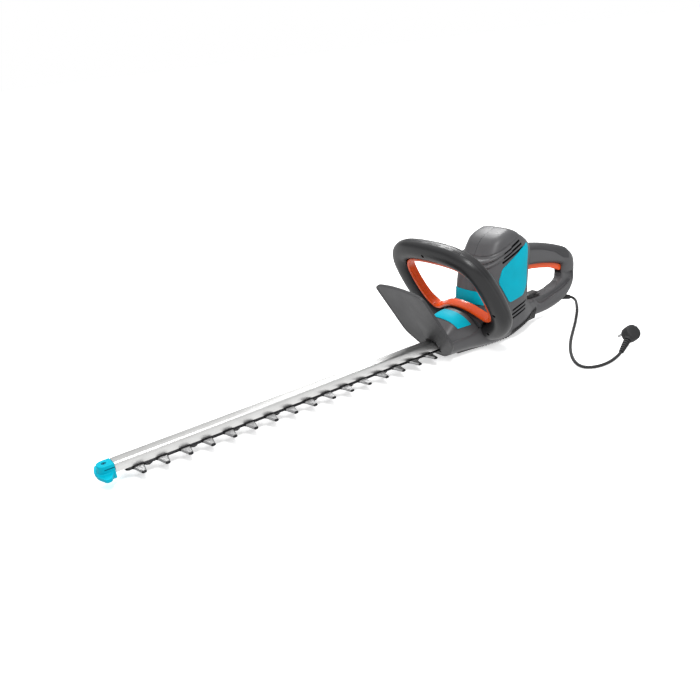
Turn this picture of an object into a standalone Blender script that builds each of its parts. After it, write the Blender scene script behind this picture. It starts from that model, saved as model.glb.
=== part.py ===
"""Electric hedge trimmer: double-action blade, hand guard, front loop handle with a
switch bail, leaning motor tower, rear D-handle, and a short lead with its plug.

Frame: +X runs from the blade tip to the rear handle, -Y is the operator's left side,
+Z is up.  The origin is under the middle of the tool, on the surface it stands on.
Lengths below are in millimetres and are scaled to metres when a mesh is made.
"""
import math

import bmesh
import bpy
from mathutils import Matrix, Vector

MM = 0.001
GAP = 0.3
# stations are drawn from a datum about 10 mm ahead of the middle of the tool
CENTRE = Vector((-9.95, 0.0, 0.0))

# blade
PITCH = 33.0
TEETH = 16
FIRST_TOOTH_X = -390.0
BLADE_TOP = 18.2
BLADE_MID = 16.0
BLADE_THICK = 2.0
BAR_HALF = 12.0
TOOTH_HALF_SPAN = 34.0
STROKE_HALF = 8.25
BOLT_EVERY = 2
BOLT_COUNT = 8
# guide rail
RAIL_X = (-419.0, 148.0)
RAIL_BOTTOM = 18.6
RAIL_TOP = 32.0
# drive
GEAR_X = 217.0
GEAR_R = 30.0
MOTOR_X = 254.5
PINION_R = 7.0
# leaning planes: station on the blade plane and lean angle
GUARD_X = 131.0
GUARD_LEAN = math.radians(30.2)
LOOP_X = 222.5
LOOP_LEAN = math.radians(27.8)
DATUM_Z = 16.0
BAIL_TRAVEL = 3.0
# rear end
REAR_X = 451.0
# lead
CORD_R = 2.5

COLOURS = {
    "body": ((0.075, 0.078, 0.082), 0.55, 0.0),
    "dark": ((0.03, 0.031, 0.033), 0.6, 0.0),
    "teal": ((0.0, 0.42, 0.56), 0.4, 0.0),
    "orange": ((1.0, 0.17, 0.03), 0.4, 0.0),
    "rubber": ((0.015, 0.015, 0.016), 0.8, 0.0),
    "aluminium": ((0.85, 0.86, 0.86), 0.3, 1.0),
    "steel": ((0.45, 0.46, 0.47), 0.35, 1.0),
    "black_steel": ((0.03, 0.03, 0.03), 0.4, 0.8),
    "copper": ((0.7, 0.32, 0.15), 0.4, 1.0),
}


def clear_scene():
    for obj in list(bpy.data.objects):
        bpy.data.objects.remove(obj, do_unlink=True)


def material(kind, node):
    colour, rough, metal = COLOURS[kind]
    mat = bpy.data.materials.new(node)
    mat.use_nodes = True
    shader = mat.node_tree.nodes["Principled BSDF"]
    shader.inputs["Base Color"].default_value = (*colour, 1.0)
    shader.inputs["Roughness"].default_value = rough
    shader.inputs["Metallic"].default_value = metal
    mat.diffuse_color = (*colour, 1.0)
    return mat


# ---------------------------------------------------------------- making solids
def solid(name, verts, faces, kind=None, smooth=None):
    """One closed mesh object from points in millimetres."""
    mesh = bpy.data.meshes.new(name)
    mesh.from_pydata([(Vector(v) + CENTRE) * MM for v in verts], [], faces)
    bm = bmesh.new()
    bm.from_mesh(mesh)
    bmesh.ops.remove_doubles(bm, verts=bm.verts, dist=1e-6)
    bmesh.ops.recalc_face_normals(bm, faces=bm.faces)
    bm.to_mesh(mesh)
    bm.free()
    obj = bpy.data.objects.new(name, mesh)
    bpy.context.collection.objects.link(obj)
    if kind:
        mesh.materials.append(material(kind, name))
    if smooth:
        mesh.shade_smooth()
        mesh.set_sharp_from_angle(angle=math.radians(smooth))
    return obj


def loft(name, rings, kind=None, closed=False, smooth=None):
    """Bridge rings of equal length; end rings are capped unless the loft is closed."""
    count = len(rings[0])
    verts = [p for ring in rings for p in ring]
    faces = []
    last = len(rings) if closed else len(rings) - 1
    for i in range(last):
        j = (i + 1) % len(rings)
        for k in range(count):
            m = (k + 1) % count
            faces.append((i * count + k, i * count + m, j * count + m, j * count + k))
    if not closed:
        faces.append(tuple(range(count)))
        faces.append(tuple((len(rings) - 1) * count + k for k in range(count)))
    return solid(name, verts, faces, kind, smooth)


def prism(name, outline, low, high, axis="Z", kind=None, smooth=None):
    """Extrude a 2-D outline along one axis."""
    order = {"Z": lambda a, b, t: (a, b, t), "Y": lambda a, b, t: (a, t, b), "X": lambda a, b, t: (t, a, b)}
    put = order[axis]
    rings = [[put(a, b, t) for a, b in outline] for t in (low, high)]
    return loft(name, rings, kind, smooth=smooth)


def box(name, low, high, kind=None):
    outline = [(low[0], low[1]), (high[0], low[1]), (high[0], high[1]), (low[0], high[1])]
    return prism(name, outline, low[2], high[2], "Z", kind)


def basis(direction):
    """Two unit vectors square to a direction."""
    n = Vector(direction).normalized()
    side = Vector((0, 0, 1)) if abs(n.z) < 0.9 else Vector((1, 0, 0))
    u = n.cross(side).normalized()
    return n, u, n.cross(u)


def turned(name, profile, origin, direction, kind=None, count=24, smooth=35):
    """Solid of revolution; profile is (radius, height) pairs from one end to the other."""
    n, u, v = basis(direction)
    start = Vector(origin)
    rings = []
    for radius, height in profile:
        ring = []
        for k in range(count):
            t = 2 * math.pi * k / count
            ring.append(start + n * height + (u * math.cos(t) + v * math.sin(t)) * radius)
        rings.append(ring)
    return loft(name, rings, kind, smooth=smooth)


def hollow_turned(name, profile, origin, direction, kind=None, count=24, smooth=35):
    """Revolve a closed profile that stays off the axis."""
    n, u, v = basis(direction)
    start = Vector(origin)
    rings = []
    for k in range(count):
        t = 2 * math.pi * k / count
        out = u * math.cos(t) + v * math.sin(t)
        rings.append([start + n * h + out * r for r, h in profile])
    return loft(name, rings, kind, closed=True, smooth=smooth)


def oval(cx, cy, a, b, power=2.0, count=28):
    """Points of a superellipse."""
    points = []
    for k in range(count):
        t = 2 * math.pi * k / count
        c, s = math.cos(t), math.sin(t)
        x = cx + a * math.copysign(abs(c) ** (2 / power), c)
        y = cy + b * math.copysign(abs(s) ** (2 / power), s)
        points.append((x, y))
    return points


def rounded(outline, radius, steps=3):
    """Round each corner of an outline with a short arc; radius may be one per corner."""
    points = []
    n = len(outline)
    for i, corner in enumerate(outline):
        r = radius[i] if isinstance(radius, (list, tuple)) else radius
        here = Vector(corner)
        back = (Vector(outline[i - 1]) - here)
        ahead = (Vector(outline[(i + 1) % n]) - here)
        if r <= 0:
            points.append(tuple(here))
            continue
        cut = min(r, back.length * 0.48, ahead.length * 0.48)
        a = here + back.normalized() * cut
        b = here + ahead.normalized() * cut
        for k in range(steps + 1):
            t = k / steps
            p = a * (1 - t) ** 2 + here * (2 * t * (1 - t)) + b * t ** 2
            points.append(tuple(p))
    return points


def smooth_path(points, count, cyclic=False):
    """Even points along a Catmull-Rom curve through the given points."""
    pts = [Vector(p) for p in points]
    n = len(pts)
    dense = []
    spans = n if cyclic else n - 1
    for i in range(spans):
        p0 = pts[(i - 1) % n] if cyclic or i > 0 else pts[0] * 2 - pts[1]
        p1, p2 = pts[i % n], pts[(i + 1) % n]
        p3 = pts[(i + 2) % n] if cyclic or i + 2 < n else pts[-1] * 2 - pts[-2]
        for k in range(24):
            t = k / 24
            dense.append(0.5 * (2 * p1 + (p2 - p0) * t + (2 * p0 - 5 * p1 + 4 * p2 - p3) * t ** 2
                                + (3 * p1 - p0 - 3 * p2 + p3) * t ** 3))
    dense.append(pts[0].copy() if cyclic else pts[-1])
    lengths = [0.0]
    for a, b in zip(dense, dense[1:]):
        lengths.append(lengths[-1] + (b - a).length)
    steps = count if cyclic else count - 1
    out = []
    j = 0
    for k in range(count):
        want = lengths[-1] * k / steps
        while j < len(lengths) - 2 and lengths[j + 1] < want:
            j += 1
        span = max(lengths[j + 1] - lengths[j], 1e-9)
        out.append(dense[j].lerp(dense[j + 1], min(1.0, (want - lengths[j]) / span)))
    return out


def applied(obj):
    """Fix an object's modifiers into its mesh."""
    graph = bpy.context.evaluated_depsgraph_get()
    mesh = bpy.data.meshes.new_from_object(obj.evaluated_get(graph))
    obj.modifiers.clear()
    obj.data = mesh
    return obj


def combine(obj, others, operation, keep=False):
    for other in others:
        mod = obj.modifiers.new(operation.lower(), "BOOLEAN")
        mod.operation = operation
        mod.object = other
        mod.solver = "EXACT"
        bpy.context.view_layer.update()
        applied(obj)
        if not keep:
            bpy.data.objects.remove(other, do_unlink=True)
    return obj


def cut(obj, *others, keep=False):
    return combine(obj, others, "DIFFERENCE", keep)


def join(obj, *others):
    return combine(obj, others, "UNION")


def common(obj, *others, keep=False):
    return combine(obj, others, "INTERSECT", keep)


def finish(obj, name, kind, smooth=None):
    obj.name = name
    obj.data.name = name
    obj.data.materials.clear()
    obj.data.materials.append(material(kind, name))
    for poly in obj.data.polygons:
        poly.material_index = 0
    if smooth:
        obj.data.shade_smooth()
        obj.data.set_sharp_from_angle(angle=math.radians(smooth))
    return obj


def origin_at(obj, point):
    """Move the object's origin, leaving the mesh in place."""
    p = (Vector(point) + CENTRE) * MM
    obj.data.transform(Matrix.Translation(-p))
    obj.location = p
    return obj


# ---------------------------------------------------------------- leaning planes
def on_plane(station, lean, y, h, n=0.0):
    """A point on a plane that leans forward: h up the plane, n behind it."""
    x = station - h * math.sin(lean) + n * math.cos(lean)
    z = DATUM_Z + h * math.cos(lean) + n * math.sin(lean)
    return (x, y, z)


def slab_behind(name, station, lean, n0, n1):
    """The space between two planes that lean alike, for cutting."""
    rings = []
    for n in (n0, n1):
        rings.append([on_plane(station, lean, y, h, n) for y, h in ((-300, -300), (300, -300), (300, 400), (-300, 400))])
    return loft(name, rings)


# ---------------------------------------------------------------- blade assembly
def blade_outline():
    """Bar with teeth on both sides, from the tip back to the drive frame."""
    top = []
    for i in range(TEETH):
        x = FIRST_TOOTH_X + PITCH * i
        top += [(x - 8.8, BAR_HALF), (x - 7.4, BAR_HALF + 2.5), (x - 3.3, TOOTH_HALF_SPAN - 1.2), (x - 2.2, TOOTH_HALF_SPAN)]
        top += [(x + 2.2, TOOTH_HALF_SPAN), (x + 3.3, TOOTH_HALF_SPAN - 1.2), (x + 7.4, BAR_HALF + 2.5), (x + 8.8, BAR_HALF)]
    front = FIRST_TOOTH_X - 17
    rear = GEAR_X
    tail = [(rear - 34, BAR_HALF), (rear - 30, 22), (rear + 26, 22), (rear + 30, 18)]
    side = [(front + 3, BAR_HALF)] + top + tail
    return [(front, 9)] + side + [(x, -y) for x, y in reversed(side)] + [(front, -9)]


def bolt_xs():
    return [FIRST_TOOTH_X + PITCH * (0.5 + BOLT_EVERY * k) for k in range(BOLT_COUNT)]


def make_blade(name, low, high):
    blade = prism(name, blade_outline(), low, high, "Z")
    half = STROKE_HALF + 3.4
    for x in bolt_xs():
        slot = rounded([(x - half, -2.9), (x + half, -2.9), (x + half, 2.9), (x - half, 2.9)], 2.2, 1)
        cut(blade, prism("slot", slot, low - 1, high + 1))
    frame = rounded([(GEAR_X - 24, -16), (GEAR_X + 24, -16), (GEAR_X + 24, 16), (GEAR_X - 24, 16)], 6)
    cut(blade, prism("frame", frame, low - 1, high + 1))
    finish(blade, name, "steel")
    return origin_at(blade, (GEAR_X, 0, (low + high) / 2))


def make_rail():
    """Aluminium channel over the blades, open underneath."""
    wide, narrow, wall = 11.2, 9.2, 2.2
    outer = [(-wide, RAIL_BOTTOM), (-wide, RAIL_TOP - 7), (-narrow, RAIL_TOP), (narrow, RAIL_TOP), (wide, RAIL_TOP - 7), (wide, RAIL_BOTTOM)]
    inner = [(wide - wall, RAIL_BOTTOM), (wide - wall, RAIL_TOP - 7.4), (narrow - wall, RAIL_TOP - wall),
             (wall - narrow, RAIL_TOP - wall), (wall - wide, RAIL_TOP - 7.4), (wall - wide, RAIL_BOTTOM)]
    return prism("guide_rail", outer + inner, RAIL_X[0], RAIL_X[1], "X", "aluminium")


def make_bolts():
    """Headed pins from the rail down through the blade slots, each with its nut."""
    for k, x in enumerate(bolt_xs()):
        nut_low, nut_high = BLADE_MID - BLADE_THICK - 5.6, BLADE_MID - BLADE_THICK - 0.4
        profile = [(6.0, nut_low), (6.0, nut_high), (2.4, nut_high), (2.4, RAIL_TOP - 2.6)]
        turned("blade_bolt_%d" % (k + 1), profile, (x, 0, 0), (0, 0, 1), "black_steel", count=8)


def make_tip():
    """Tip protector: a nose as wide as the rail, two swept wings and a tongue inside the rail."""
    wings = rounded([(-421, -9), (-430, -26), (-437, -26), (-443, -9), (-443, 9), (-437, 26), (-430, 26), (-421, 9)], 5, 2)
    tip = prism("tip", wings, 14, 18.5, "Z")
    nose = rounded([(-419.3, -10.8), (-435, -10.4), (-440, -4), (-440, 4), (-435, 10.4), (-419.3, 10.8)], [0, 4, 4, 4, 4, 0], 2)
    join(tip, prism("nose", nose, 10.5, 31.8, "Z"))
    join(tip, box("tongue", (-425, -6.6, 21), (-404, 6.6, 29)))
    cut(tip, turned("hole", [(2.4, 20), (2.4, 40)], (-430, 0, 0), (0, 0, 1), count=8))
    return finish(tip, "tip_protector", "teal", 40)


def make_tip_screw():
    return turned("tip_screw", [(2.0, 22), (2.0, 32.2), (3.8, 32.3), (3.2, 33.4)], (-430, 0, 0), (0, 0, 1), "black_steel", count=8)


# ---------------------------------------------------------------- housing
TOWER = (
    (30, 202, 323, 38, 0), (60, 203, 325, 41, 0), (90, 205, 327, 42, 0), (120, 211, 330, 42.5, 0),
    (145, 222, 333, 43, 0.05), (160, 228, 329, 42, 0.12), (171, 233, 321, 39.5, 0.17),
    (179, 238, 311, 36, 0.22), (184.5, 246, 302, 30.5, 0.25), (187.5, 257, 293, 21.5, 0.26),
    (188.5, 268, 282, 10, 0.26),
)
CREST_X = 280  # the cap's top falls forwards and backwards from here
LOWER = (
    (112, 22, 37, 6, 18, 34), (150, 22, 38, 5, 17, 35), (180, 22, 39, 3.5, 15, 38), (205, 24, 41, 1.5, 12, 46),
    (235, 28, 43, 0.0, 10, 60), (270, 28, 42, 2.5, 14, 66), (305, 24, 37, 9, 20, 62), (335, 18, 25, 14.5, 26, 48.4), (355, 14, 18.7, 15.6, 30, 44.3),
)
HANDLE = (
    (296, 129, 21, 18), (335, 127, 20, 17.5), (376, 121, 19, 17), (412, 112, 18, 17), (436, 103, 16, 17), (446, 91, 15.5, 16.5),
    (446, 71, 16, 16.5), (443, 54, 16.5, 16), (428, 40.5, 18, 16.5), (402, 33, 18.5, 17), (370, 29.5, 18.5, 17.8), (335, 30, 18, 18.4), (302, 33, 15, 17.6),
)


def tower_solid(name, off=0.0):
    rings = []
    for z, x0, x1, half, tilt in TOWER:
        a = max((x1 - x0) / 2 - off, 2.0)
        b = max(half - off, 2.0)
        level = z - off if z > 100 else z
        outline = oval((x0 + x1) / 2, 0, a, b, 3.2, 32)
        rings.append([(x, y, level - tilt * max(CREST_X - x, 0) - 0.4 * tilt * max(x - CREST_X, 0)) for x, y in outline])
    return loft(name, rings)


def lower_solid(name, off=0.0):
    rings = []
    for x, hb, ht, z0, knee, z1 in LOWER:
        outline = [(-hb + off, z0 + off), (hb - off, z0 + off), (ht - off, knee), (ht - off, z1 - off), (-ht + off, z1 - off), (-ht + off, knee)]
        rings.append([(x, y, z) for y, z in rounded(outline, [5, 5, 8, 7, 7, 8], 2)])
    return loft(name, rings)


def handle_solid(name, off=0.0):
    """Rear grip swept from the tower round to the underside."""
    path = smooth_path([(x, 0, z) for x, z, _, _ in HANDLE], 26)
    sizes = smooth_path([(a, b, 0) for _, _, a, b in HANDLE], 26)
    rings = []
    for i, p in enumerate(path):
        ahead = path[min(i + 1, 25)] - path[max(i - 1, 0)]
        t = ahead.normalized()
        up = Vector((-t.z, 0, t.x))
        a, b = sizes[i].x - off, sizes[i].y - off
        rings.append([tuple(p + up * u + Vector((0, v, 0))) for u, v in oval(0, 0, a, b, 2.6, 16)])
    return loft(name, rings)


def cap_plane(name, above, shift=0.0):
    """Half-space over or under the cap's rim, which rises to the rear."""
    slope, x0, z0 = 0.36, 227, 151 + shift
    line = [(100, z0 + slope * (100 - x0)), (420, z0 + slope * (420 - x0))]
    far = 400 if above else -200
    return prism(name, line + [(420, far), (100, far)], -120, 120, "Y")


def vent_slots(y_side, rows):
    cutters = []
    for (x0, z0), (x1, z1), width in rows:
        d = Vector((x1 - x0, z1 - z0)).normalized()
        n = Vector((-d.y, d.x)) * width / 2
        corners = [(x0 - n.x, z0 - n.y), (x1 - n.x, z1 - n.y), (x1 + n.x, z1 + n.y), (x0 + n.x, z0 + n.y)]
        low, high = sorted((y_side * 30, y_side * 70))
        cutters.append(prism("vent", rounded(corners, width * 0.45, 2), low, high, "Y"))
    return cutters


UPPER_VENTS = (((255, 154), (294, 168.5), 3.6), ((253, 146.5), (297, 162.5), 3.6), ((251, 139), (300, 156.5), 3.6))
LOWER_VENTS = (((270, 52), (308, 60), 3.4), ((268, 45), (308, 53), 3.4))


def trigger_outline(grow=0.0, up=0.0):
    end = 0.3 * grow
    top = [(334 - end, 108.5), (354, 107.5), (390, 101.5), (416, 94.5), (431 + end, 89)]
    low = [(433 + end, 82), (429 + end, 77), (422, 81), (406, 88), (380, 94), (354, 98.5), (334 - end, 99.5)]
    return [(x, z + up) for x, z in top] + [(x, z - grow) for x, z in low]


def housing_outer():
    body = lower_solid("body_shell")
    join(body, common(tower_solid("tower"), cap_plane("under", False, -GAP)))
    join(body, handle_solid("grip"))
    cut(body, slab_behind("front", GUARD_X, GUARD_LEAN, -200, 4.3))
    return body


def housing_cuts(body):
    """Hollows, seats and passages shared by both halves."""
    inner = common(lower_solid("inner_low", 3.0), box("mid", (120, -60, 6.5), (300, 60, 90)))
    cut(body, inner)
    tower = common(tower_solid("inner_tower", 3.2), box("band", (150, -60, 28), (340, 60, 220)))
    cut(body, tower)
    cut(body, box("mouth", (100, -13.6, 10.5), (200, 13.6, RAIL_TOP + 0.6)))
    cut(body, box("hatch", (157.3, -25.6, -5), (290.6, 25.6, 9.3)))
    cut(body, hump_solid("hump_seat", GAP))
    cut(body, prism("trigger_seat", trigger_outline(5.0, 8.0), -6.6, 6.6, "Y"))
    for foot in loop_feet(GAP):
        cut(body, foot)
    cut(body, turned("cord_seat", [(6.3, -20), (6.3, 60)], CORD_EXIT, CORD_DIR, count=10))
    for side in (-1, 1):
        cut(body, *vent_slots(side, UPPER_VENTS + LOWER_VENTS))
    return body


def make_housings():
    whole = housing_cuts(housing_outer())
    for name, low, high in (("housing_left", -200, -GAP / 2), ("housing_right", GAP / 2, 200)):
        half = whole.copy()
        half.data = whole.data.copy()
        bpy.context.collection.objects.link(half)
        common(half, box("side", (50, low, -50), (500, high, 400)))
        finish(half, name, "body", 40)
    bpy.data.objects.remove(whole, do_unlink=True)


def make_cap():
    cap = common(tower_solid("cap"), cap_plane("over", True))
    cut(cap, tower_solid("cap_inner", 3.2))
    return finish(cap, "motor_cap", "body", 40)


def make_panels():
    outline = [(312, 162), (308, 87), (297, 73), (264, 68), (241, 108), (250, 129)]
    for name, side in (("side_panel_left", -1), ("side_panel_right", 1)):
        low, high = sorted((side * 25, side * 70))
        panel = common(tower_solid("panel", -1.4), prism("window", rounded(outline, 5, 2), low, high, "Y"))
        cut(panel, tower_solid("under", -GAP))
        cut(panel, lower_solid("under_low", -GAP))
        finish(panel, name, "teal", 40)


def make_front_band():
    """Coloured band round the front of the motor tower."""
    outline = [(186, 100), (211, 98), (236, 82), (242, 72), (230, 67), (207, 77), (186, 79)]
    band = common(tower_solid("band", -1.4), prism("window", outline, -70, 70, "Y"))
    cut(band, tower_solid("under", -GAP))
    cut(band, lower_solid("under_low", -GAP))
    return finish(band, "tower_band", "teal", 40)


# ---------------------------------------------------------------- gearbox cover
HUMP = ((112, 24, 40), (126, 29, 47), (140, 33, 59), (153, 35, 68), (168, 36.5, 71.5), (200, 37.5, 73))


def hump_solid(name, off=0.0):
    """Arched dome that rises to the rear."""
    rings = []
    for x, half, top in HUMP:
        base = 37.5
        a, b = half + off, top - base + 2 * off
        ring = [(x, c * a, base - off + s * b) for c, s in arch_points(14)]
        rings.append(ring)
    return loft(name, rings)


def arch_points(count):
    points = []
    for k in range(count + 1):
        t = math.pi * k / count
        points.append((math.copysign(abs(math.cos(t)) ** 0.8, math.cos(t)), math.sin(t) ** 0.8 if math.sin(t) > 1e-9 else 0.0))
    return points


def make_gearbox_cover():
    cover = hump_solid("cover")
    cut(cover, slab_behind("front", GUARD_X, GUARD_LEAN, -200, 4.3))
    cut(cover, slab_behind("rear", LOOP_X, LOOP_LEAN, -11.6, 200))
    cut(cover, box("inside", (100, -26, 0), (168, 26, 46)))
    return finish(cover, "gearbox_cover", "body", 40)


def make_cover_insert():
    insert = common(hump_solid("insert", 1.5), slab_behind("window", LOOP_X, LOOP_LEAN, -44, -20))
    cut(insert, hump_solid("under", 0.8))
    cut(insert, box("trim", (50, -80, 0), (260, 80, 52)))
    return finish(insert, "cover_insert", "teal", 40)


# ---------------------------------------------------------------- loop handle
LOOP_PATH = (
    (47, 22), (66, 31), (84, 46), (96, 66), (100, 92), (99.5, 122), (94, 150), (80, 171), (56, 182), (28, 186), (0, 187),
)
LOOP_R = 16.5


def loop_rings(front, off=0.0):
    """Half-round sections along the loop; front is -1 for the blade side shell."""
    pts = [(-y, h, 0) for y, h in LOOP_PATH] + [(y, h, 0) for y, h in reversed(LOOP_PATH[:-1])]
    path = smooth_path(pts, 45)
    rings = []
    for i, p in enumerate(path):
        t = (path[min(i + 1, 44)] - path[max(i - 1, 0)]).normalized()
        side = Vector((-t.y, t.x, 0))
        ring = []
        for k in range(9):
            a = math.pi * k / 8
            s = side * math.cos(a) * (LOOP_R + off)
            depth = front * (GAP / 2 - (off if off else 0) + math.sin(a) * (LOOP_R * 0.92 + off * 2))
            ring.append(on_plane(LOOP_X, LOOP_LEAN, p.x + s.x, p.y + s.y, depth))
        rings.append(ring)
    return rings


def loop_feet(off):
    """The two shells grown a little, for cutting the housing's seats."""
    return [loft("foot", loop_rings(side, off)) for side in (-1, 1)]


def make_loop():
    for name, front in (("front_handle_front", -1), ("front_handle_rear", 1)):
        shell = loft(name, loop_rings(front))
        for lift in (0.0, BAIL_TRAVEL / 2, BAIL_TRAVEL + 0.3):
            cut(shell, loft("groove", bail_rings(0.9, lift), closed=True))
        finish(shell, name, "body", 40)


BAIL_PATH = (
    (0, 71.5), (24, 68.5), (43, 60), (57, 53.5), (69, 57), (77, 72), (81, 98), (80.5, 124), (75, 146), (61, 160), (33, 165.6), (0, 166.6),
)


def bail_rings(grow=0.0, lift=0.0):
    right = [(y, h, 0) for y, h in BAIL_PATH]
    left = [(-y, h, 0) for y, h in reversed(BAIL_PATH[1:-1])]
    path = smooth_path(right + left, 52, cyclic=True)
    rings = []
    for i, p in enumerate(path):
        t = (path[(i + 1) % 52] - path[i - 1]).normalized()
        side = Vector((-t.y, t.x, 0))
        ring = []
        for s, d in ((-2.2, -7.5), (2.2, -7.5), (2.6, 0), (2.2, 7.5), (-2.2, 7.5), (-2.6, 0)):
            q = p + side * (s + math.copysign(grow, s))
            ring.append(on_plane(LOOP_X, LOOP_LEAN, q.x, q.y + lift, d + math.copysign(grow, d) * (d != 0)))
        rings.append(ring)
    return rings


def make_bail():
    bail = loft("front_switch_bail", bail_rings(), closed=True)
    finish(bail, "front_switch_bail", "orange", 40)
    return origin_at(bail, on_plane(LOOP_X, LOOP_LEAN, 0, 75))


def make_collar():
    """Dark arch between the gearbox cover and the tower, under the bail."""
    arch = [(-36, 30), (-48, 46), (-42, 54), (-25, 62), (0, 65.3), (25, 62), (42, 54), (48, 46), (36, 30)]
    rings = [[on_plane(LOOP_X, LOOP_LEAN, y, h, n) for y, h in arch] for n in (-11.2, 30)]
    collar = loft("collar", rings)
    cut(collar, tower_solid("under", -2.2), lower_solid("under_low", -0.5), *loop_feet(0.8))
    cut(collar, box("trim", (100, -80, 0), (300, 80, 43.5)))
    return finish(collar, "cover_collar", "dark", 40)


# ---------------------------------------------------------------- guard
def make_guard():
    outline = [(-60, 24), (-60.5, 131), (-44, 138), (-16, 141.5), (16, 141.5), (44, 138), (60.5, 131), (60, 24), (36, -3), (14, -15.5), (-14, -15.5), (-36, -3)]
    shape = rounded(outline, [14, 8, 8, 8, 8, 8, 8, 14, 10, 6, 6, 10], 2)
    rings = [[on_plane(GUARD_X, GUARD_LEAN, y, h, n) for y, h in shape] for n in (0, 4)]
    guard = loft("guard", rings)
    cut(guard, box("mouth", (60, -14.2, 11.5), (220, 14.2, RAIL_TOP + 1.0)))
    return finish(guard, "hand_guard", "body", 40)


# ---------------------------------------------------------------- underside
def make_base_plate():
    outline = [(158, 4.8), (180, 3.4), (205, 1.3), (222, 0), (250, 0), (270, 2.2), (290, 5.4), (290, 8.2), (158, 8.2)]
    return prism("base_plate", outline, -25.2, 25.2, "Y", "dark")


# ---------------------------------------------------------------- drive parts
def make_drive():
    gear = make_gear()
    origin_at(gear, (GEAR_X, 0, 27))
    turned("armature_shaft", [(3.5, 22), (3.5, 23), (PINION_R, 23.2), (PINION_R, 31), (4, 31.2), (4, 60), (19, 60.2), (19, 112), (8, 112.2), (8, 128), (4, 128.2), (4, 142)],
           (MOTOR_X, 0, 0), (0, 0, 1), "copper")
    origin_at(bpy.data.objects["armature_shaft"], (MOTOR_X, 0, 27))
    hollow_turned("motor_stator", [(20.5, 58), (33, 58), (33, 114), (20.5, 114)], (MOTOR_X, 0, 0), (0, 0, 1), "steel")
    hollow_turned("lower_bearing", [(4.4, 36), (11, 36), (11, 43), (4.4, 43)], (MOTOR_X, 0, 0), (0, 0, 1), "steel", count=18)
    hollow_turned("upper_bearing", [(4.4, 132), (10, 132), (10, 139), (4.4, 139)], (MOTOR_X, 0, 0), (0, 0, 1), "steel", count=18)
    hollow_turned("gear_bearing", [(4.4, 31.6), (10, 31.6), (10, 37), (4.4, 37)], (GEAR_X, 0, 0), (0, 0, 1), "steel", count=18)


def make_gear():
    """Toothed wheel on its shaft with two opposed eccentric discs."""
    teeth = []
    number = 32
    for k in range(number):
        a = 2 * math.pi * k / number
        for f, r in ((0.0, GEAR_R - 2.2), (0.4, GEAR_R - 2.2), (0.7, GEAR_R)):
            t = a + f * 2 * math.pi / number
            teeth.append((GEAR_X + r * math.cos(t), r * math.sin(t)))
    gear = prism("gear", teeth, 23.5, 30.5)
    shaft = turned("shaft", [(4, 9), (4, 38)], (GEAR_X, 0, 0), (0, 0, 1), count=16)
    join(gear, shaft)
    join(gear, turned("ecc_up", [(7, 16.2), (7, 18.6)], (GEAR_X + STROKE_HALF, 0, 0), (0, 0, 1), count=18))
    join(gear, turned("ecc_low", [(7, 13.4), (7, 15.8)], (GEAR_X - STROKE_HALF, 0, 0), (0, 0, 1), count=18))
    return finish(gear, "drive_gear", "steel", 30)


def make_switches():
    """Two snap switches inside the housing, one for each hand."""
    box("rear_switch", (292, -9, 78), (314, 9, 104), "dark")
    box("front_switch", (292, -9, 42), (312, 9, 62), "dark")


# ---------------------------------------------------------------- rear controls
def make_trigger():
    outline = rounded(trigger_outline(), [2, 2, 2, 2, 3, 3, 3, 2, 2, 2, 2, 2], 1)
    prism("rear_trigger", outline, -5.8, 5.8, "Y", "orange")
    return origin_at(bpy.data.objects["rear_trigger"], (336, 0, 105))


def make_grip_insert():
    """Soft inlay along the top of the rear grip."""
    inlay = handle_solid("inlay", -1.0)
    common(inlay, prism("window", [(338, 160), (338, 139), (372, 132), (404, 120), (427, 104), (440, 100), (445, 130)], -30, 30, "Y"))
    cut(inlay, handle_solid("under", -GAP))
    cut(inlay, tower_solid("tower_under", -0.6))
    return finish(inlay, "rear_grip_insert", "rubber", 40)


def make_cable_hook():
    """Hook on the lower bar that holds a loop of the extension lead."""
    outline = [(340, 34), (374, 36), (374, 49), (359, 48), (359, 50.4), (370, 51.4), (370, 54), (350, 53), (340, 50)]
    hook = prism("hook", outline, -6.5, 6.5, "Y")
    cut(hook, handle_solid("under", -0.4), lower_solid("under_low", -0.4))
    return finish(hook, "cable_hook", "dark", 40)


# ---------------------------------------------------------------- lead
CORD_EXIT = (432, 0, 26)
CORD_DIR = Vector((0.95, 0, -0.3)).normalized()
CORD_ROUTE = (
    (462.4, 0, 16.42), (466.4, -0.9, 15.0), (468.5, -4.5, 12.4), (465.5, -11, 10), (457, -20, 7.6), (438, -37, 4.4), (397, -68, 2.8), (359, -95, 2.8),
    (324, -120, 2.8), (292, -146, 2.8), (267, -171, 2.8), (252, -192, 2.8), (248, -208, 2.8), (255, -219, 2.8), (270, -225, 2.8),
    (290, -225.5, 2.8), (310, -221.5, 3.0), (324, -218.6, 5.0),
)


def make_lead():
    profile = [(5.8, -6), (5.8, 6), (4.6, 8), (4.6, 16), (4.0, 30)]
    turned("cord_gland", profile, CORD_EXIT, CORD_DIR, "rubber", count=12)
    curve = bpy.data.curves.new("cord", "CURVE")
    curve.dimensions = "3D"
    curve.resolution_u = 1
    curve.render_resolution_u = 0
    curve.bevel_depth = CORD_R * MM
    curve.bevel_resolution = 2
    curve.use_fill_caps = True
    points = smooth_path(CORD_ROUTE, 56)
    spline = curve.splines.new("POLY")
    spline.points.add(len(points) - 1)
    for point, p in zip(spline.points, points):
        point.co = (*((p + CENTRE) * MM), 1.0)
    curve.materials.append(material("rubber", "cord"))
    obj = bpy.data.objects.new("cord", curve)
    bpy.context.collection.objects.link(obj)
    end, before = points[-1], points[-2]
    way = Vector((0.877, 0.22, 0.427)).normalized()
    start = end + way * (GAP + 0.7)
    turned("plug_strain_relief", [(3.4, 0), (4.2, 4), (5.6, 25)], start, way, "rubber", count=12)
    make_plug(start + way * 25.3, way)


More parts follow.
